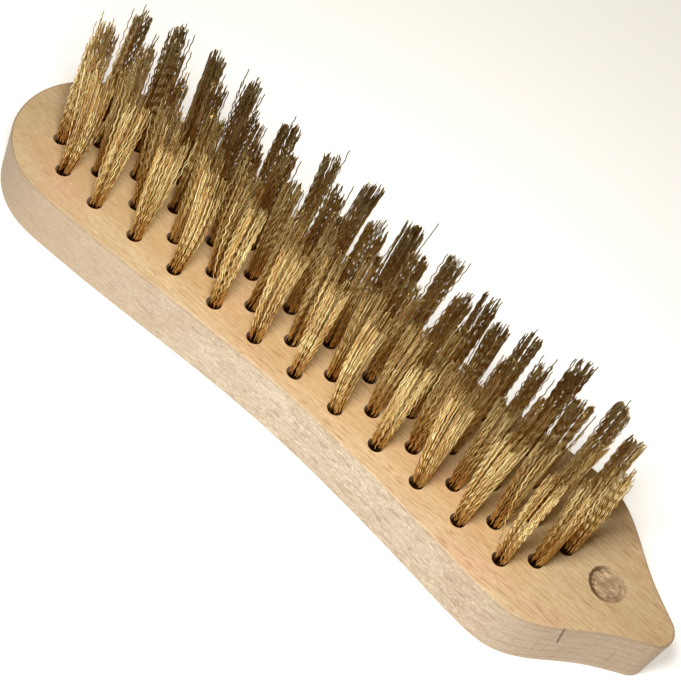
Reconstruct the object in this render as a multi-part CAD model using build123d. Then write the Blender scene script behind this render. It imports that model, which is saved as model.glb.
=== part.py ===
"""Hand wire brush: a shaped beech block planted with 64 tufts of crimped brass wire.

The block lies on its flat back. +X runs from the blunt end to the nose, +Y across the block, +Z up along
the wires. The origin is the centre of the back, so the block's face is at the height of its thickness.
"""
import os
from math import cos, radians, sin

from build123d import *

os.makedirs("parts", exist_ok=True)

# Block, mm
BLOCK_LENGTH = 256.0
BLOCK_THICKNESS = 19.6
BLUNT_END_RADIUS = 30.5
WAIST_HALF_WIDTH = 25.8
SHOULDER_HALF_WIDTH = 32.0
NOSE_RADIUS = 6.9
NOSE_JOIN_ANGLE = 58.0
EDGE_ROUND = 1.0
WAIST_X = -6.0
SHOULDER_X = 78.0

# Half width of the block at stations along its side, between the blunt end and the round of the nose
SIDE_STATIONS = [
    (-46.0, 27.8),
    (WAIST_X, WAIST_HALF_WIDTH),
    (34.0, 27.6),
    (61.0, 30.3),
    (SHOULDER_X, SHOULDER_HALF_WIDTH),
    (89.0, 31.3),
    (101.0, 24.1),
    (113.5, 13.2),
]

# Round maker's stamp pressed into the face behind the nose
STAMP_DIAMETER = 12.0
STAMP_DEPTH = 0.3
STAMP_FROM_NOSE = 24.4

# Tuft pattern: a rank is one line of tufts across the block, half a pitch from the next. The rows follow
# the waisted sides, so they bow apart away from the waist. At the blunt end the first rank has a middle
# tuft and the first outer pair is drawn in; at the nose the last rank is a single tuft, set closer.
TUFT_PITCH = 16.1
INNER_ROW = 9.2
OUTER_ROW = 17.8
FIRST_RANK_FROM_END = 18.4
RANK_COUNT = 26
FIRST_MIDDLE_BACK = 1.2
FIRST_PAIR_IN = 2.2
FIRST_PAIR_ON = 1.4
LAST_RANK_GAP = 4.4
ROW_BOW = 0.00026

# Tuft holes and the bundles of wire in them
HOLE_DIAMETER = 5.0
HOLE_DEPTH = 12.0
NECK_DIAMETER = 4.4
NECK_ABOVE_FACE = 1.5
WAIST_OF_FLARE = 0.3
FLARE_SLOPE = 0.09
TIP_DIAMETER = 8.0
WIRE_LENGTH = 41.0
TIP_BEVEL = 0.8
FOLD_ABOVE_FLOOR = 0.2
FOLD_BEVEL = 0.5

# Flat strips driven across the holes to hold the folded wires down
ANCHOR_LENGTH = 6.2
ANCHOR_HEIGHT = 2.2
ANCHOR_THICKNESS = 0.5
ANCHOR_CORNER = 0.4
ANCHOR_ABOVE_FLOOR = 1.4
SLOT_PLAY = 0.02
FOLD_PLAY = 0.1

HALF_LENGTH = BLOCK_LENGTH / 2
FACE = BLOCK_THICKNESS
FLOOR = FACE - HOLE_DEPTH

# How far a cut runs past the face it starts from
OVERCUT = 1.0


def block_outline():
    """Plan of the block: round blunt end, waisted sides, shoulders and a concave sweep to the nose."""
    end_x = BLUNT_END_RADIUS - HALF_LENGTH
    nose_x = HALF_LENGTH - NOSE_RADIUS
    join = radians(NOSE_JOIN_ANGLE)
    nose_join = (nose_x + NOSE_RADIUS * cos(join), NOSE_RADIUS * sin(join))
    blunt_join = (end_x, BLUNT_END_RADIUS)
    side = Spline(blunt_join, *SIDE_STATIONS, nose_join, tangents=[(1, 0), (sin(join), -cos(join))])
    other_side = mirror(side, about=Plane.XZ)
    blunt_end = ThreePointArc((end_x, -BLUNT_END_RADIUS), (-HALF_LENGTH, 0), (end_x, BLUNT_END_RADIUS))
    nose = ThreePointArc(nose_join, (HALF_LENGTH, 0), (nose_join[0], -nose_join[1]))
    return make_face([blunt_end, side, nose, other_side])


def tuft_places(rank):
    """Centres of the tufts in one rank, from the near side of the block to the far side."""
    x = FIRST_RANK_FROM_END - HALF_LENGTH + rank * TUFT_PITCH / 2
    if rank == RANK_COUNT - 1:
        return [(x - TUFT_PITCH / 2 + LAST_RANK_GAP, 0)]
    bow = ROW_BOW * (x - WAIST_X) ** 2
    if rank % 2 == 0:
        inner = INNER_ROW + (bow if x > WAIST_X else 0)
        middle = [(x - FIRST_MIDDLE_BACK, 0)] if rank == 0 else []
        return [(x, -inner), *middle, (x, inner)]
    outer = OUTER_ROW + bow
    outer_x = x
    if rank == 1:
        outer -= FIRST_PAIR_IN
        outer_x += FIRST_PAIR_ON
    return [(outer_x, -outer), (x, 0), (outer_x, outer)]


def hole(x, y):
    """Space of one blind tuft hole with the slot its anchor strip has cut into the wood on both sides."""
    drilled = Pos(x, y, FLOOR) * extrude(Circle(HOLE_DIAMETER / 2), HOLE_DEPTH + OVERCUT)
    slot_height = ANCHOR_HEIGHT + 2 * SLOT_PLAY
    slot_z = FLOOR + ANCHOR_ABOVE_FLOOR + ANCHOR_HEIGHT / 2
    slot = Box(ANCHOR_THICKNESS + 2 * SLOT_PLAY, ANCHOR_LENGTH + 2 * SLOT_PLAY, slot_height)
    return drilled + Pos(x, y, slot_z) * slot


def tuft(x, y):
    """Bundle of wires, folded under the anchor in the hole and flaring from the face up to the tips."""
    neck = NECK_DIAMETER / 2
    tip = TIP_DIAMETER / 2
    fold = FLOOR + FOLD_ABOVE_FLOOR
    top = FACE + WIRE_LENGTH
    flare = Spline(
        (neck, FACE + NECK_ABOVE_FACE),
        ((neck + tip) / 2 - WAIST_OF_FLARE, FACE + WIRE_LENGTH / 2),
        (tip, top - TIP_BEVEL),
        tangents=[(0, 1), (FLARE_SLOPE, 1)],
    )
    rest = Polyline(
        (tip, top - TIP_BEVEL),
        (tip - TIP_BEVEL, top),
        (0, top),
        (0, fold),
        (neck - FOLD_BEVEL, fold),
        (neck, fold + FOLD_BEVEL),
        (neck, FACE + NECK_ABOVE_FACE),
    )
    bundle = revolve(Plane.XZ * make_face([flare, rest]), Axis.Z)
    window = Box(
        ANCHOR_THICKNESS + 2 * FOLD_PLAY,
        HOLE_DIAMETER,
        ANCHOR_HEIGHT + 2 * FOLD_PLAY,
    )
    window_z = FLOOR + ANCHOR_ABOVE_FLOOR + ANCHOR_HEIGHT / 2
    return Pos(x, y) * (bundle - Pos(0, 0, window_z) * window)


def anchor(x, y):
    """Flat strip across the hole, with its two leading corners bevelled where they bite into the wood."""
    half_length = ANCHOR_LENGTH / 2
    strip = Polyline(
        (-half_length, ANCHOR_HEIGHT),
        (-half_length, ANCHOR_CORNER),
        (ANCHOR_CORNER - half_length, 0),
        (half_length - ANCHOR_CORNER, 0),
        (half_length, ANCHOR_CORNER),
        (half_length, ANCHOR_HEIGHT),
        close=True,
    )
    plate = extrude(Plane.YZ * make_face(strip), ANCHOR_THICKNESS / 2, both=True)
    return Pos(x, y, FLOOR + ANCHOR_ABOVE_FLOOR) * plate


def drilled_block():
    """Solid block with rounded edges, its tuft holes and the shallow round stamp."""
    body = extrude(block_outline(), BLOCK_THICKNESS)
    rims = body.edges().filter_by(Axis.Z, reverse=True)
    body = fillet(rims, EDGE_ROUND)
    places = [place for rank in range(RANK_COUNT) for place in tuft_places(rank)]
    body = body - [hole(x, y) for x, y in places]
    stamp = extrude(Circle(STAMP_DIAMETER / 2), STAMP_DEPTH + OVERCUT)
    return body - Pos(HALF_LENGTH - STAMP_FROM_NOSE, 0, FACE - STAMP_DEPTH) * stamp


def save(name, solids):
    """Write the solids of one node to their own file."""
    shape = solids[0] if len(solids) == 1 else Compound(children=solids)
    export_step(shape, f"parts/{name}.step")


save("beech_block", [drilled_block()])
for rank in range(RANK_COUNT):
    places = tuft_places(rank)
    save(f"tufts_rank_{rank + 1:02d}", [tuft(x, y) for x, y in places])
    save(f"anchors_rank_{rank + 1:02d}", [anchor(x, y) for x, y in places])
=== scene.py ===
"""Looks of the hand wire brush: beech block, tufts of crimped brass wire, floor, light and camera."""
import math

import bmesh
import bpy
import numpy as np
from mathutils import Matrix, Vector


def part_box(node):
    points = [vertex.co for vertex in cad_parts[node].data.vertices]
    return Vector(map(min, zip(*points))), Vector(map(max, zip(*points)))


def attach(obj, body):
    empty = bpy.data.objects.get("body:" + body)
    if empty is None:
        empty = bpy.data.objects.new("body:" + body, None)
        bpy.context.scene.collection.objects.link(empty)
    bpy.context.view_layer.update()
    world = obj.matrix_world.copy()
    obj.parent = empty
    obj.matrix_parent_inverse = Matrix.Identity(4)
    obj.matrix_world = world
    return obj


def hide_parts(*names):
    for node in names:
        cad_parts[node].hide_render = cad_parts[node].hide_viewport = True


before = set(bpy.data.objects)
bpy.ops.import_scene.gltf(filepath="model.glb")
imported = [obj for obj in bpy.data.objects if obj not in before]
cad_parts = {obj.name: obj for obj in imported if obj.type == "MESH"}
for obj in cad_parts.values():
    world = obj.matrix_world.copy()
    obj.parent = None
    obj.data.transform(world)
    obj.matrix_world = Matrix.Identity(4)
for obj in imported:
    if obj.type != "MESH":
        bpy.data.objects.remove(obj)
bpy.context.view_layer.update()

MM = 0.001
rng = np.random.default_rng(20)

# ---------------------------------------------------------------- sizes shared with the CAD model, mm
RANK_COUNT = 26
HOLE_DEPTH = 12.0
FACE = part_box("beech_block")[1].z / MM
HOLE_FLOOR = FACE - HOLE_DEPTH

# ---------------------------------------------------------------- wood, m
# Centre of the stamp along X, and the radii of its two rings
STAMP_X = 0.1036
STAMP_OUTER_RING = 0.0055
STAMP_INNER_RING = 0.0043
# Place of the drying check along X at the face, its shift along X for each m of depth, half its width at
# the core and at the rim, and the depths in mm between which it ends
CHECK_X = 0.1019
CHECK_LEAN = 0.144
CHECK_HALF_WIDTH = (0.00014, 0.00038)
CHECK_END = (8.4, 7.4)
# Spacing of the growth rings and of the layer lines beside the nose
RING_WIDTH = 0.0026
LAYER_HEIGHT = 0.0034
# The stamp shows only on the upward face: it fades in between these heights
BACK_HALF = 0.010
FACE_ZONE = 0.017
# Stretches along X over which the field of tufts gives way to the nose and to the blunt end's rim
NOSE_ZONE = (0.078, 0.090)
BLUNT_ZONE = (-0.118, -0.106)
# Box round all the tuft holes, clear of the block's sides, half the width of its soft edge, and the depths
# in mm between which the painted shade on the walls of the holes fades from dark to the colour of the face
HOLES_FROM_X = -0.1138
HOLES_TO_X = 0.0930
HOLES_HALF_WIDTH = 0.0244
HOLES_SOFT = 0.0002
HOLES_SHADE = (2.5, 0.4)

# ---------------------------------------------------------------- wire, mm
WIRES_PER_TUFT = 30
WIRE_RADIUS = 0.175
WIRE_LENGTH = 43.2
# Length above the face that gets painted shade and the reflected colour of the wood, and heights above it
# between which the tips on the far side get painted shade
NECK_SHADE_LENGTH = 14.0
FAR_TIP_SHADE = (22, 44)

# Crimp: a wave that grows to its height from the face, and flattens by a share over the last stretch
CRIMP_LENGTH = 4.4
CRIMP_HEIGHT = 0.21
CRIMP_START = 3.0
STRAIGHT_TIP = 10.0
TIP_FLATTENING = 0.55

# Radius of the bundle where it leaves the hole and at the tips, half the gap between a wire's two
# legs, how far the bundle stands off the hole's axis where it leaves the face, and how early it splays
NECK_RADIUS = 1.95
TIP_RADIUS = 3.4
LEG_GAP = 0.25
FOOT_SHIFT = (0.24, 0.16)
SPLAY_POWER = 1.5

# In the hole: clearance and half size of the bundle's seat beside the anchor, height of the seat above
# the hole's floor, and how far the folds hang below it
SEAT_CLEARANCE = 0.30
SEAT_HALF = (1.3, 1.5)
SEAT_HEIGHT = 2.6
FOLD_DROP = (1.5, 2.2)

# How tufts differ: lean per mm of height, sway, length, direction of the crimp (middle and spread,
# radians), and the factors on the crimp's length and on the splay
TUFT_LEAN = 0.020
TUFT_SWAY = 0.35
TUFT_LIFT = 0.6
TUFT_PLANE = (0.45, 0.6)
TUFT_VARIETY = (0.88, 1.12)

# How the strands of a tuft differ: length, phase of the crimp, and the share by which ends draw together.
# The strands of a tuft are turned about its axis by a share of its phase.
STRANDS = 6
STRAND_TURN = 0.35
STRAND_LIFT = 1.0
STRAND_PHASE = 0.80
STRAND_GATHER = (0.10, 0.40)

# How single ends differ: outer ends stop lower (the dome), all fall short by some mm, the tips scatter,
# and the wave has its own direction, phase, length and height
DOME = 1.3
SHORTFALL = 1.7
TIP_SCATTER = 0.22
TIP_VARIETY = (0.92, 1.08)
END_BEND = 0.16
PLANE_SPREAD = 0.25
PHASE_SLOPE = (0.5, -0.4)
PHASE_SPREAD = 0.42
PITCH_VARIETY = (0.996, 1.004)
HEIGHT_VARIETY = (0.75, 1.2)

# Stray ends: their share, how far their tips stand off and how much longer they are. The LOOSE values
# come on top at the blunt end, where the wires are loosest.
STRAY_SHARE = 0.04
STRAY_REACH = 2.2
STRAY_LENGTH = 3.0
LOOSE_STRAY_SHARE = 0.10
LOOSE_STRAY_LENGTH = 2.0

# Where tufts begin to change towards either end, and the length over which they do
BLUNT_END_FROM = -40.0
BLUNT_END_SPAN = 70.0
NOSE_END_SPAN = 60.0
# Rows further than this from the middle line are the near rows (towards -Y) and the far rows (towards +Y)
SIDE_ROWS = 5
# Lean along X and Y, per mm of height, at either end
BLUNT_END_LEAN = (0.055, 0.04)
NOSE_END_LEAN = (0.02, 0.035)
# Change of the tip radius on the near side, and at the blunt end for the near side and for the rest
NEAR_FLARE = 0.8
BLUNT_END_FLARE = 0.9
BLUNT_END_GATHER = -0.5
# Tufts at the blunt end knocked out of line: (rank, tuft) and the extra lean along X and Y
KNOCKED = {(1, 2): (-0.040, -0.010), (1, 3): (-0.020, 0.075), (2, 2): (0.050, 0.040)}

# Steps along a wire above the face, in the hole and round the fold, sides of its section, and the size
# of the last ring before a cut end
STEPS_FREE = 84
STEPS_HOLE = 6
STEPS_FOLD = 7
SIDES = 5
CUT_END = 0.30

# ---------------------------------------------------------------- studio, m (lens in mm, turn in degrees)
# The floor lies a hair under the back so that the two planes don't fight
FLOOR_HALF = 3.0
FLOOR_DROP = 0.0001
FLOOR_GLOW = 0.50
KEY_PLACE = (0.015, -0.18, 0.295)
KEY_TARGET = (0.01, -0.01, 0.02)
KEY_SIZE = 0.11
KEY_WATTS = 1.32
KEY_TINT = (1.0, 0.985, 0.96)
FILL_TINT = (1.0, 0.74, 0.34, 1.0)
FILL_STRENGTH = 0.18
CAMERA_PLACE = (0.0781, -0.3037, 0.3710)
CAMERA_DEGREES = (38.116, -19.498, 37.884)
LENS_MM = 82.61
SENSOR_MM = 36.0


# ---------------------------------------------------------------- node helpers
class Field:
    """A number that varies over a surface: the output of a shader node, with ordinary arithmetic."""

    def __init__(self, tree, socket):
        self.tree = tree
        self.socket = socket

    def math(self, operation, other=None):
        made = self.tree.nodes.new("ShaderNodeMath")
        made.operation = operation
        self.tree.links.new(self.socket, made.inputs[0])
        if isinstance(other, Field):
            self.tree.links.new(other.socket, made.inputs[1])
        elif other is not None:
            made.inputs[1].default_value = other
        return Field(self.tree, made.outputs[0])

    def __add__(self, other):
        return self.math("ADD", other)

    def __sub__(self, other):
        return self.math("SUBTRACT", other)

    def __mul__(self, other):
        return self.math("MULTIPLY", other)

    def __rsub__(self, other):
        return self * -1.0 + other

    def __abs__(self):
        return self.math("ABSOLUTE")

    def __pow__(self, exponent):
        return self.math("POWER", exponent)

    def rise(self, low, high):
        """0 below low, 1 above high and straight between."""
        made = self.tree.nodes.new("ShaderNodeMapRange")
        made.inputs["From Min"].default_value = low
        made.inputs["From Max"].default_value = high
        self.tree.links.new(self.socket, made.inputs["Value"])
        return Field(self.tree, made.outputs["Result"])

    def fall(self, low, high):
        """1 below low, 0 above high and straight between."""
        return 1.0 - self.rise(low, high)


def new_material(name):
    """New node material, with its node tree and its main shader."""
    material = bpy.data.materials.new(name)
    material.use_nodes = True
    tree = material.node_tree
    return material, tree, tree.nodes["Principled BSDF"]


def position(tree):
    """Object coordinates in metres, as three fields."""
    coords = tree.nodes.new("ShaderNodeTexCoord")
    split = tree.nodes.new("ShaderNodeSeparateXYZ")
    tree.links.new(coords.outputs["Object"], split.inputs[0])
    return [Field(tree, socket) for socket in split.outputs]


def facing_up(tree):
    """Upward part of the surface's own direction."""
    coords = tree.nodes.new("ShaderNodeTexCoord")
    split = tree.nodes.new("ShaderNodeSeparateXYZ")
    tree.links.new(coords.outputs["Normal"], split.inputs[0])
    return Field(tree, split.outputs[2])


def noise(tree, scale, detail=2.0, roughness=0.5, distortion=0.0, offset=(0.0, 0.0, 0.0)):
    """Noise with scale features to the metre along each axis."""
    coords = tree.nodes.new("ShaderNodeTexCoord")
    mapping = tree.nodes.new("ShaderNodeMapping")
    mapping.inputs["Scale"].default_value = scale
    mapping.inputs["Location"].default_value = offset
    tree.links.new(coords.outputs["Object"], mapping.inputs["Vector"])
    made = tree.nodes.new("ShaderNodeTexNoise")
    made.inputs["Scale"].default_value = 1.0
    made.inputs["Detail"].default_value = detail
    made.inputs["Roughness"].default_value = roughness
    made.inputs["Distortion"].default_value = distortion
    tree.links.new(mapping.outputs["Vector"], made.inputs["Vector"])
    return Field(tree, made.outputs["Fac"])


def blend(factor, first, second):
    """Colour socket: first where the field is 0, second where it is 1. Colours are tuples or sockets."""
    tree = factor.tree
    made = tree.nodes.new("ShaderNodeMix")
    made.data_type = "RGBA"
    tree.links.new(factor.socket, made.inputs[0])
    for socket, color in ((made.inputs[6], first), (made.inputs[7], second)):
        if isinstance(color, tuple):
            socket.default_value = (*color, 1.0)
        else:
            tree.links.new(color, socket)
    return made.outputs[2]


# ---------------------------------------------------------------- beech
def face_color(tree, x, rings):
    """Planed faces: warm and even, with fine dark pores along the grain."""
    bands = noise(tree, (8.0, 90.0, 60.0), detail=3.0, offset=(2.0, 3.0, 4.0)).rise(0.35, 0.65)
    patches = noise(tree, (24.0, 60.0, 60.0), detail=2.0, offset=(8.0, 1.0, 5.0)).rise(0.52, 0.72)
    fibres = noise(tree, (60.0, 1700.0, 1700.0), detail=3.0, roughness=0.6).rise(0.42, 0.66)
    pores = noise(tree, (190.0, 3000.0, 3000.0), detail=0.0, offset=(5.0, 9.0, 2.0)).rise(0.63, 0.69)
    mottle = noise(tree, (500.0, 1100.0, 900.0), detail=3.0, roughness=0.7, offset=(7.0, 2.0, 3.0))
    color = blend(bands, (0.610, 0.460, 0.262), (0.690, 0.535, 0.332))
    color = blend(patches * 0.9, color, (0.650, 0.405, 0.265))
    color = blend(mottle.rise(0.50, 0.66) * 0.40, color, (0.530, 0.350, 0.190))
    color = blend(mottle.fall(0.34, 0.46) * 0.35, color, (0.840, 0.680, 0.450))
    color = blend(rings * 0.12, color, (0.400, 0.235, 0.120))
    open_grain = x.rise(-0.100, -0.010) * 0.6 + 0.4
    color = blend(fibres * open_grain * 0.36, color, (0.460, 0.265, 0.115))
    return blend(pores * open_grain * 0.60, color, (0.330, 0.150, 0.055))


def side_color(tree, x, z, rings):
    """Sawn sides: paler and woolly, with short curled flecks and painted fall-off of light towards both
    ends. The layers show as lines by the nose.
    """
    cloud = noise(tree, (60.0, 60.0, 90.0), detail=3.0, offset=(1.0, 4.0, 8.0)).rise(0.35, 0.65)
    wool = noise(tree, (480.0, 480.0, 1100.0), detail=3.0, roughness=0.7, distortion=1.6)
    curls = noise(tree, (230.0, 230.0, 1300.0), detail=1.0, distortion=0.8, offset=(6.0, 2.0, 1.0))
    curls = curls.rise(0.57, 0.66)
    flecks = noise(tree, (150.0, 150.0, 650.0), detail=0.0, offset=(3.0, 7.0, 5.0)).rise(0.70, 0.76)
    beside_nose = x.rise(*NOSE_ZONE)
    rough_sawn = (1.0 - beside_nose * 0.65) * (x.rise(-0.090, 0.010) * 0.70 + 0.30)
    color = blend(cloud, (0.475, 0.385, 0.280), (0.540, 0.460, 0.350))
    # Painted fall-off of the key light: the sides darken towards both ends
    color = blend(abs(x - 0.010).rise(0.030, 0.110) * 0.8, color, (0.460, 0.345, 0.235))
    color = blend(rings * 0.12, color, (0.400, 0.290, 0.200))
    color = blend(wool.rise(0.50, 0.66) * rough_sawn * 0.62, color, (0.350, 0.255, 0.170))
    color = blend(wool.fall(0.32, 0.47) * rough_sawn * 0.70, color, (0.790, 0.700, 0.560))
    color = blend(curls * rough_sawn * 0.62, color, (0.290, 0.200, 0.130))
    color = blend(flecks * rough_sawn * 0.50, color, (0.340, 0.250, 0.185))
    drift = noise(tree, (10.0, 10.0, 45.0), detail=2.0, offset=(9.0, 9.0, 1.0)) * 0.0090
    layers = ((z + drift) * (2 * math.pi / LAYER_HEIGHT)).math("SINE").rise(0.80, 0.97)
    uprights = noise(tree, (1100.0, 1100.0, 65.0), detail=0.0, offset=(2.0, 5.0, 3.0)).rise(0.66, 0.74)
    color = blend(layers * beside_nose * 0.34, color, (0.300, 0.195, 0.130))
    return blend(uprights * beside_nose * 0.28, color, (0.320, 0.215, 0.145))


def stamp_color(tree, x, y, wood):
    """Round pressed stamp and how crushed the wood is: rough broken rings, fainter on the far side, with a
    painted shadow along the rim on the blunt-end side.
    """
    off_x = x - STAMP_X
    radius = (off_x * off_x + y * y) ** 0.5
    rough = noise(tree, (560.0, 900.0, 700.0), detail=3.0, roughness=0.75, offset=(4.0, 4.0, 0.0))
    broken = noise(tree, (330.0, 420.0, 300.0), detail=2.0, offset=(1.0, 6.0, 2.0)).rise(0.38, 0.54)
    ragged = radius + (rough - 0.5) * 0.0020
    outer = abs(ragged - STAMP_OUTER_RING).fall(0.0003, 0.0009)
    inner = abs(ragged - STAMP_INNER_RING).fall(0.0001, 0.0006)
    rim_shadow_side = (off_x + y * 0.5).fall(-0.0040, 0.0010)
    middle = (abs(off_x - 0.0012) + abs(y + 0.0004) * 0.8 + (rough - 0.5) * 0.006).fall(0.0030, 0.0052)
    pressed = 1.0 - y.rise(0.0030, 0.0056) * 0.7
    inside = ragged.fall(0.0058, 0.0063) * pressed
    color = blend(inside * 0.30, wood, (0.420, 0.300, 0.185))
    color = blend(middle * 0.50, color, (0.400, 0.290, 0.200))
    color = blend(rough.rise(0.49, 0.60) * inside * 0.72, color, (0.240, 0.150, 0.085))
    color = blend(rough.fall(0.36, 0.46) * inside * 0.70, color, (0.780, 0.600, 0.400))
    color = blend(inner * broken * 0.70, color, (0.190, 0.110, 0.060))
    color = blend(outer * broken * pressed * 0.50, color, (0.220, 0.130, 0.070))
    # Painted shadow along the rim of the stamp's recess on the blunt-end side
    return blend(outer * rim_shadow_side * 0.95, color, (0.100, 0.055, 0.025)), inside * rough


def growth_rings(tree, x, y, z):
    """Shells round a heart that lies far below the board and slightly askew."""
    wobble = noise(tree, (9.0, 40.0, 40.0), detail=3.0, offset=(3.0, 1.0, 7.0)) * 0.010
    across = y + x * 0.06 + 0.016
    depth = z + x * 0.012 + 0.085
    radius = (across * across + depth * depth) ** 0.5 + wobble
    return ((radius * (2 * math.pi / RING_WIDTH)).math("SINE") * 0.5 + 0.5) ** 3.0


def drying_check(x, y, z):
    """One short crack down the near side beside the nose."""
    off_check = x - CHECK_X + (z - FACE * MM) * CHECK_LEAN
    check = abs(off_check).fall(*CHECK_HALF_WIDTH) * y.fall(-0.016, -0.012)
    return check * z.rise((FACE - CHECK_END[0]) * MM, (FACE - CHECK_END[1]) * MM)


def painted_hole_shade(x, y, z, on_side):
    """Painted shade on the walls of the tuft holes, darker with depth. They all lie in one box, and the
    block's own sides lie outside it.
    """
    in_box = x.rise(HOLES_FROM_X - HOLES_SOFT, HOLES_FROM_X + HOLES_SOFT)
    in_box = in_box * x.fall(HOLES_TO_X - HOLES_SOFT, HOLES_TO_X + HOLES_SOFT)
    in_box = in_box * abs(y).fall(HOLES_HALF_WIDTH - HOLES_SOFT, HOLES_HALF_WIDTH + HOLES_SOFT)
    return in_box * on_side * z.fall((FACE - HOLES_SHADE[0]) * MM, (FACE - HOLES_SHADE[1]) * MM)


def beech():
    """Beech block: planed faces, sawn sides, the stamp, the drying check, painted warm shade among the
    tufts, painted fall-off of light, and painted shade on the edges and in the holes.
    """
    material, tree, shader = new_material("beech")
    x, y, z = position(tree)
    upward = facing_up(tree)
    on_side = abs(upward).fall(0.75, 0.95)
    rings = growth_rings(tree, x, y, z)

    face = face_color(tree, x, rings)
    # Painted warm shade on the face between the tufts, in place of light bounced off the brass wires
    painted_tuft_shade = abs(y).fall(0.015, 0.025) * x.fall(*NOSE_ZONE) * x.rise(*BLUNT_ZONE)
    face = blend(painted_tuft_shade * 0.30, face, (0.600, 0.330, 0.110))
    # Painted fall-off of the key light: the face darkens towards the nose
    face = blend(x.rise(0.080, 0.122) * 0.38, face, (0.480, 0.320, 0.185))
    stamped, crushed = stamp_color(tree, x, y, face)
    face = blend(upward.rise(0.5, 0.9) * z.rise(BACK_HALF, FACE_ZONE), face, stamped)
    color = blend(on_side, face, side_color(tree, x, z, rings))
    color = blend(drying_check(x, y, z) * on_side * 0.85, color, (0.110, 0.055, 0.028))
    # Painted shade on the rounded edges, damping the highlight they catch
    shaded_arris = abs(upward).rise(0.10, 0.40) * on_side
    color = blend(shaded_arris * 0.30, color, (0.330, 0.230, 0.140))
    # Painted shade on the walls of the holes
    color = blend(painted_hole_shade(x, y, z, on_side), color, (0.400, 0.230, 0.125))
    tree.links.new(color, shader.inputs["Base Color"])

    grain = noise(tree, (75.0, 1300.0, 1300.0), detail=3.0, roughness=0.6)
    tree.links.new((grain * 0.15 + 0.50).socket, shader.inputs["Roughness"])
    shader.inputs["Specular IOR Level"].default_value = 0.25
    height = grain - crushed * 2.0
    bump = tree.nodes.new("ShaderNodeBump")
    bump.inputs["Strength"].default_value = 0.35
    bump.inputs["Distance"].default_value = 0.0001
    tree.links.new(height.socket, bump.inputs["Height"])
    tree.links.new(bump.outputs["Normal"], shader.inputs["Normal"])
    return material


# ---------------------------------------------------------------- metals
def brass_wire():
    """Brass: each wire its own tone, tarnished in patches, with painted shade at the far tips and painted
    shade and reflected wood colour at the necks.
    """
    material, tree, shader = new_material("brass_wire")
    _, y, z = position(tree)
    tone = noise(tree, (1400.0, 1400.0, 60.0), detail=1.0).rise(0.30, 0.70)
    tarnish = noise(tree, (90.0, 90.0, 120.0), detail=3.0, offset=(3.0, 3.0, 3.0))
    color = blend(tone, (0.520, 0.290, 0.075), (0.910, 0.820, 0.450))
    color = blend(tarnish.rise(0.45, 0.75) * 0.6, color, (0.420, 0.205, 0.055))
    # Painted shade on the tips of the far rows
    shaded_far_tips = y.rise(0.002, 0.018) * z.rise((FACE + FAR_TIP_SHADE[0]) * MM, (FACE + FAR_TIP_SHADE[1]) * MM)
    color = blend(shaded_far_tips * 0.70, color, (0.300, 0.240, 0.130))
    # Painted shade and reflected colour of the wood on the wires just above the face
    neck_shade = z.fall(FACE * MM, (FACE + NECK_SHADE_LENGTH) * MM)
    color = blend(neck_shade * 0.50, color, (0.560, 0.290, 0.080))
    tree.links.new(color, shader.inputs["Base Color"])
    shader.inputs["Metallic"].default_value = 1.0
    tree.links.new((tarnish * 0.15 + 0.16).socket, shader.inputs["Roughness"])
    return material


def strip_metal():
    """Plain grey steel of the anchor strips, finely brushed."""
    material, tree, shader = new_material("strip_metal")
    brushed = noise(tree, (400.0, 3000.0, 3000.0), detail=2.0)
    color = blend(brushed.rise(0.3, 0.7), (0.330, 0.320, 0.300), (0.520, 0.510, 0.490))
    tree.links.new(color, shader.inputs["Base Color"])
    shader.inputs["Metallic"].default_value = 1.0
    tree.links.new((brushed * 0.2 + 0.3).socket, shader.inputs["Roughness"])
    return material


# ---------------------------------------------------------------- tufts
def tuft_centres(name):
    """Axes of the tufts of one rank, in mm: the middle of each separate shell of the CAD node's mesh."""
    shells = bmesh.new()
    shells.from_mesh(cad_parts[name].data)
    bmesh.ops.remove_doubles(shells, verts=shells.verts, dist=1e-6)
    waiting = set(shells.verts)
    centres = []
    while waiting:
        reached = [waiting.pop()]
        for vert in reached:
            for edge in vert.link_edges:
                other = edge.other_vert(vert)
                if other in waiting:
                    waiting.remove(other)
                    reached.append(other)
        places = np.array([vert.co[:2] for vert in reached]) / MM
        centres.append(tuple((places.min(0) + places.max(0)) / 2))
    shells.free()
    return sorted(centres, key=lambda centre: centre[1])


def smooth(value):
    """0 below 0, 1 above 1 and a soft step between."""
    value = np.clip(value, 0.0, 1.0)
    return value * value * (3 - 2 * value)


def strand_of(angle, turn):
    """Number of the strand that each end belongs to: strands are equal sectors about the tuft's axis."""
    return np.floor((angle + np.pi / 2 + turn) / (2 * np.pi) * STRANDS).astype(int) % STRANDS


def strand_hearts(neck, strand):
    """Middle of each strand where it leaves the hole."""
    members = [strand == k for k in range(STRANDS)]
    return np.stack([(neck * own[..., None]).sum((0, 1)) / max(1, own.sum()) for own in members])


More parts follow.
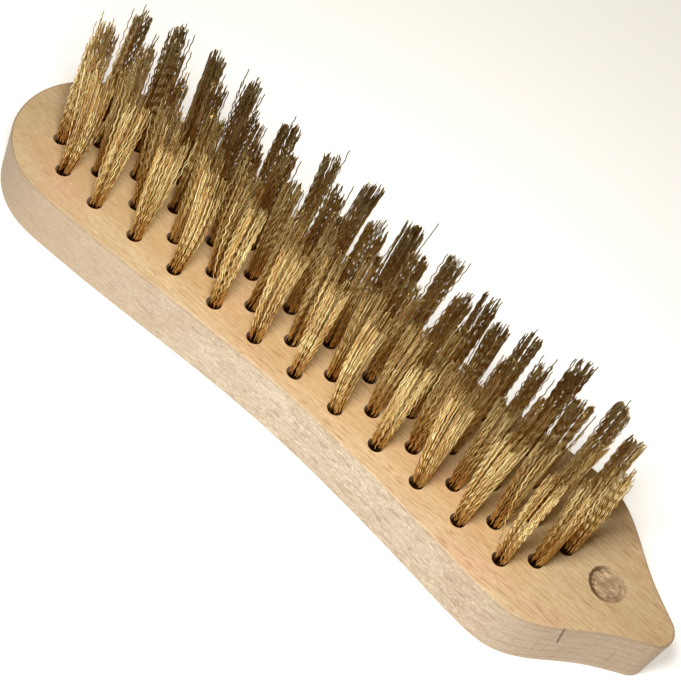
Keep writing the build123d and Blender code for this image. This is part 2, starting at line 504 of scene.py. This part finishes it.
def free_stretch(neck, tip, length, bend, plane, phase, pitch, height):
    """Points from the face to the tips: a splayed, bent line with the crimp's wave added."""
    free = np.linspace(0.0, 1.0, STEPS_FREE)
    rise = free[None, None, :] * length[..., None]
    share = 1.0 - (1.0 - free) ** SPLAY_POWER
    foot = neck * NECK_RADIUS + FOOT_SHIFT
    foot[..., 0] += np.array([1.0, -1.0]) * LEG_GAP * (1 - np.abs(neck[..., 0]))
    centre = foot[:, :, None, :] * (1 - share)[:, None] + tip[:, :, None, :] * share[:, None]
    centre = centre + bend[:, :, None, :] * np.sin(np.pi * free)[:, None]
    near_tip = smooth((rise - length[..., None] + STRAIGHT_TIP) / STRAIGHT_TIP)
    growth = smooth(rise / CRIMP_START) * (1 - TIP_FLATTENING * near_tip)
    # The second sine sharpens the crests, towards the straight flanks that crimping gears leave.
    turn = 2 * np.pi * rise / pitch[..., None] + phase[..., None]
    wave = (np.sin(turn) - np.sin(3 * turn) / 9) * growth * height[..., None]
    centre = centre + wave[..., None] * np.stack([np.cos(plane), np.sin(plane)], -1)[:, :, None, :]
    return np.concatenate([centre, (FACE + rise)[..., None]], -1)


def hole_stretch(radius, angle, stop):
    """Points from the seats beside the anchor up to where the ends leave the hole."""
    along = SEAT_CLEARANCE + SEAT_HALF[0] * radius * np.abs(np.cos(angle))
    seat = np.stack([along, SEAT_HALF[1] * radius * np.sin(angle)], -1)
    seat[:, 1, 0] *= -1
    start = np.concatenate([seat, np.full((len(seat), 2, 1), HOLE_FLOOR + SEAT_HEIGHT)], -1)
    climb = np.linspace(0.0, 1.0, STEPS_HOLE, endpoint=False)
    return start[:, :, None, :] * (1 - climb)[:, None] + stop[:, :, None, :] * climb[:, None]


def wire_ends(count, splay, tip_radius, loose):
    """Centre lines of the two free ends of each wire, from the anchor to the tip, in mm about the hole.

    The wires of a tuft were cut from one crimped hank, so their waves nearly nest. Neighbours cling
    together in a few strands, which leaves dark gaps between the strands.
    """
    lean = rng.normal(0.0, TUFT_LEAN, 2) + np.array(splay)
    tuft_phase = rng.uniform(0, 2 * np.pi)
    tuft_plane = rng.normal(*TUFT_PLANE)
    tuft_pitch = CRIMP_LENGTH * rng.uniform(*TUFT_VARIETY)
    spread = rng.uniform(*TUFT_VARIETY)
    sway = rng.normal(0.0, TUFT_SWAY, 2)
    radius = np.sqrt(rng.uniform(0.0, 1.0, (count, 2)))
    angle = rng.uniform(-np.pi / 2, np.pi / 2, (count, 2)) + np.array([0.0, np.pi])
    neck = np.stack([radius * np.cos(angle), radius * np.sin(angle)], -1)

    strand = strand_of(angle, STRAND_TURN * tuft_phase)
    gather = rng.uniform(*STRAND_GATHER, STRANDS)[strand][..., None]
    strand_lift = rng.normal(0.0, STRAND_LIFT, STRANDS)[strand]
    strand_phase = rng.normal(0.0, STRAND_PHASE, STRANDS)[strand]
    tip = neck * (1 - gather) + strand_hearts(neck, strand)[strand] * gather

    length = WIRE_LENGTH + rng.normal(0.0, TUFT_LIFT) - DOME * radius**2 + strand_lift
    length = length - np.abs(rng.normal(0.0, SHORTFALL + loose, (count, 2)))
    tip = tip * tip_radius * spread * rng.uniform(*TIP_VARIETY, (count, 2, 1))
    tip = tip + rng.normal(0.0, TIP_SCATTER, (count, 2, 2)) + lean * WIRE_LENGTH
    stray = rng.uniform(0, 1, (count, 2)) < STRAY_SHARE + LOOSE_STRAY_SHARE * loose
    tip = tip + stray[..., None] * rng.normal(0.0, STRAY_REACH, (count, 2, 2))
    length = length + stray * rng.uniform(0.0, STRAY_LENGTH + LOOSE_STRAY_LENGTH * loose, (count, 2))

    bend = rng.normal(0.0, END_BEND, (count, 2, 2)) + sway
    plane = tuft_plane + rng.normal(0.0, PLANE_SPREAD, (count, 2))
    phase = tuft_phase + strand_phase + PHASE_SLOPE[0] * neck[..., 0] + PHASE_SLOPE[1] * neck[..., 1]
    phase = phase + rng.normal(0.0, PHASE_SPREAD, (count, 2))
    pitch = tuft_pitch * rng.uniform(*PITCH_VARIETY, (count, 2))
    height = CRIMP_HEIGHT * rng.uniform(*HEIGHT_VARIETY, (count, 2))

    free_part = free_stretch(neck, tip, length, bend, plane, phase, pitch, height)
    hole_part = hole_stretch(radius, angle, free_part[:, :, 0, :])
    return np.concatenate([hole_part, free_part], 2)


def whole_wires(count, splay, tip_radius, loose):
    """Full centre lines: down one end, round under the anchor, up the other."""
    ends = wire_ends(count, splay, tip_radius, loose)
    first, second = ends[:, 0, 0, :], ends[:, 1, 0, :]
    turn = np.linspace(0.0, np.pi, STEPS_FOLD + 2)[1:-1]
    middle = (first + second) / 2
    half = (first - second) / 2
    drop = rng.uniform(*FOLD_DROP, count)
    fold = middle[:, None, :] + half[:, None, :] * np.cos(turn)[None, :, None]
    fold[..., 2] -= drop[:, None] * np.sin(turn)[None, :]
    return np.concatenate([ends[:, 0, ::-1, :], fold, ends[:, 1, :, :]], 1)


def tubes(paths, radius):
    """Vertices and faces of round tubes along the paths, closed at both ends."""
    count, steps = paths.shape[:2]
    ahead = np.zeros_like(paths)
    ahead[:, 1:-1] = paths[:, 2:] - paths[:, :-2]
    ahead[:, 0] = paths[:, 1] - paths[:, 0]
    ahead[:, -1] = paths[:, -1] - paths[:, -2]
    ahead /= np.linalg.norm(ahead, axis=-1, keepdims=True)
    # The first side points any way across the path, and is carried along it without twist.
    side = np.zeros_like(paths)
    side[:, 0] = np.cross(ahead[:, 0], np.array([0.3, 1.0, 0.2]))
    side[:, 0] /= np.linalg.norm(side[:, 0], axis=-1, keepdims=True)
    for k in range(1, steps):
        flat = side[:, k - 1] - (side[:, k - 1] * ahead[:, k]).sum(-1, keepdims=True) * ahead[:, k]
        side[:, k] = flat / np.linalg.norm(flat, axis=-1, keepdims=True)
    other = np.cross(ahead, side)
    turn = np.arange(SIDES) * 2 * np.pi / SIDES
    ring = side[:, :, None] * np.cos(turn)[:, None] + other[:, :, None] * np.sin(turn)[:, None]
    ring[:, (0, -1)] *= CUT_END
    points = (paths[:, :, None] + radius * ring).reshape(-1, 3)
    first = (np.arange(count)[:, None, None] * steps + np.arange(steps - 1)[:, None]) * SIDES
    here = np.arange(SIDES)
    there = (here + 1) % SIDES
    quads = np.stack([first + here, first + there, first + there + SIDES, first + here + SIDES], -1)
    bottoms = np.arange(count)[:, None] * steps * SIDES + here[::-1]
    tops = np.arange(count)[:, None] * steps * SIDES + (steps - 1) * SIDES + here
    return points, quads.reshape(-1, 4), np.concatenate([bottoms, tops])


def mesh_object(name, points, quads, caps, material):
    """Object with a smooth-shaded mesh made from points in mm, four-sided faces and end caps."""
    mesh = bpy.data.meshes.new(name)
    loops = np.concatenate([quads.ravel(), caps.ravel()]).astype(np.int32)
    sizes = np.concatenate([np.full(len(quads), 4), np.full(len(caps), caps.shape[1])])
    starts = np.concatenate([[0], np.cumsum(sizes)[:-1]]).astype(np.int32)
    mesh.vertices.add(len(points))
    mesh.vertices.foreach_set("co", (points * MM).astype(np.float32).ravel())
    mesh.loops.add(len(loops))
    mesh.loops.foreach_set("vertex_index", loops)
    mesh.polygons.add(len(sizes))
    mesh.polygons.foreach_set("loop_start", starts)
    mesh.update(calc_edges=True)
    mesh.validate()
    mesh.polygons.foreach_set("use_smooth", np.ones(len(sizes), bool))
    mesh.materials.append(material)
    made = bpy.data.objects.new(name, mesh)
    bpy.context.scene.collection.objects.link(made)
    return made


def tuft_bearing(x, y, knocked):
    """Lean along X and Y, tip radius and looseness of the tuft at x, y."""
    blunt = max(0.0, (BLUNT_END_FROM - x) / BLUNT_END_SPAN)
    nose = min(1.0, max(0.0, x / NOSE_END_SPAN))
    lean_x = BLUNT_END_LEAN[0] * blunt - NOSE_END_LEAN[0] * nose + knocked[0]
    lean_y = BLUNT_END_LEAN[1] * blunt - (NOSE_END_LEAN[1] * nose if y > SIDE_ROWS else 0.0) + knocked[1]
    if y < -SIDE_ROWS:
        flare = TIP_RADIUS + NEAR_FLARE + BLUNT_END_FLARE * blunt
    else:
        flare = TIP_RADIUS + BLUNT_END_GATHER * blunt
    return (lean_x, lean_y), flare, blunt


def build_tufts(material):
    """One piece of whole wires for every tuft, in place of the CAD nodes' solid bundles."""
    for rank in range(1, RANK_COUNT + 1):
        node_name = f"tufts_rank_{rank:02d}"
        for count, (x, y) in enumerate(tuft_centres(node_name), 1):
            lean, flare, loose = tuft_bearing(x, y, KNOCKED.get((rank, count), (0.0, 0.0)))
            paths = whole_wires(WIRES_PER_TUFT, lean, flare, loose) + np.array([x, y, 0.0])
            piece = mesh_object(f"tuft_{rank:02d}_{count}", *tubes(paths, WIRE_RADIUS), material)
            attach(piece, "root")
            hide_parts(node_name)


# ---------------------------------------------------------------- floor, light, camera
def make_floor():
    """Plain pale floor under the brush."""
    mesh = bpy.data.meshes.new("studio_floor")
    turns = ((-1, -1), (1, -1), (1, 1), (-1, 1))
    corners = [(across * FLOOR_HALF, along * FLOOR_HALF, -FLOOR_DROP) for across, along in turns]
    mesh.from_pydata(corners, [], [(0, 1, 2, 3)])
    material, _, shader = new_material("studio_floor")
    shader.inputs["Base Color"].default_value = (0.93, 0.93, 0.92, 1.0)
    shader.inputs["Roughness"].default_value = 0.9
    shader.inputs["Specular IOR Level"].default_value = 0.1
    shader.inputs["Emission Color"].default_value = (1.0, 1.0, 1.0, 1.0)
    shader.inputs["Emission Strength"].default_value = FLOOR_GLOW
    mesh.materials.append(material)
    floor = bpy.data.objects.new("studio_floor", mesh)
    bpy.context.scene.collection.objects.link(floor)


def key_light():
    """Soft round lamp above the near side."""
    data = bpy.data.lights.new("key", "AREA")
    data.shape = "DISK"
    data.size = KEY_SIZE
    data.energy = KEY_WATTS
    data.color = KEY_TINT
    lamp = bpy.data.objects.new("key", data)
    lamp.location = KEY_PLACE
    lamp.rotation_euler = (Vector(KEY_TARGET) - Vector(KEY_PLACE)).to_track_quat("-Z", "Y").to_euler()
    lamp.visible_camera = False
    bpy.context.scene.collection.objects.link(lamp)


def fill_light():
    """Warm light from all round."""
    world = bpy.data.worlds.new("studio")
    world.use_nodes = True
    background = world.node_tree.nodes["Background"]
    background.inputs["Color"].default_value = FILL_TINT
    background.inputs["Strength"].default_value = FILL_STRENGTH
    bpy.context.scene.world = world


def place_camera():
    """Camera above the near side, with plain colour management."""
    scene = bpy.context.scene
    data = bpy.data.cameras.new("camera")
    data.sensor_width = SENSOR_MM
    data.lens = LENS_MM
    data.clip_start = 0.01
    camera = bpy.data.objects.new("camera", data)
    camera.location = CAMERA_PLACE
    camera.rotation_euler = tuple(math.radians(turn) for turn in CAMERA_DEGREES)
    scene.collection.objects.link(camera)
    scene.camera = camera
    scene.view_settings.view_transform = "Standard"
    scene.view_settings.look = "None"
    scene.view_settings.exposure = 0.0
    scene.view_settings.gamma = 1.0


wood = beech()
wire = brass_wire()
strip = strip_metal()
for name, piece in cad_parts.items():
    if name == "beech_block":
        piece.data.materials.clear()
        piece.data.materials.append(wood)
    elif name.startswith("anchors"):
        piece.data.materials.clear()
        piece.data.materials.append(strip)
build_tufts(wire)
make_floor()
key_light()
fill_light()
place_camera()
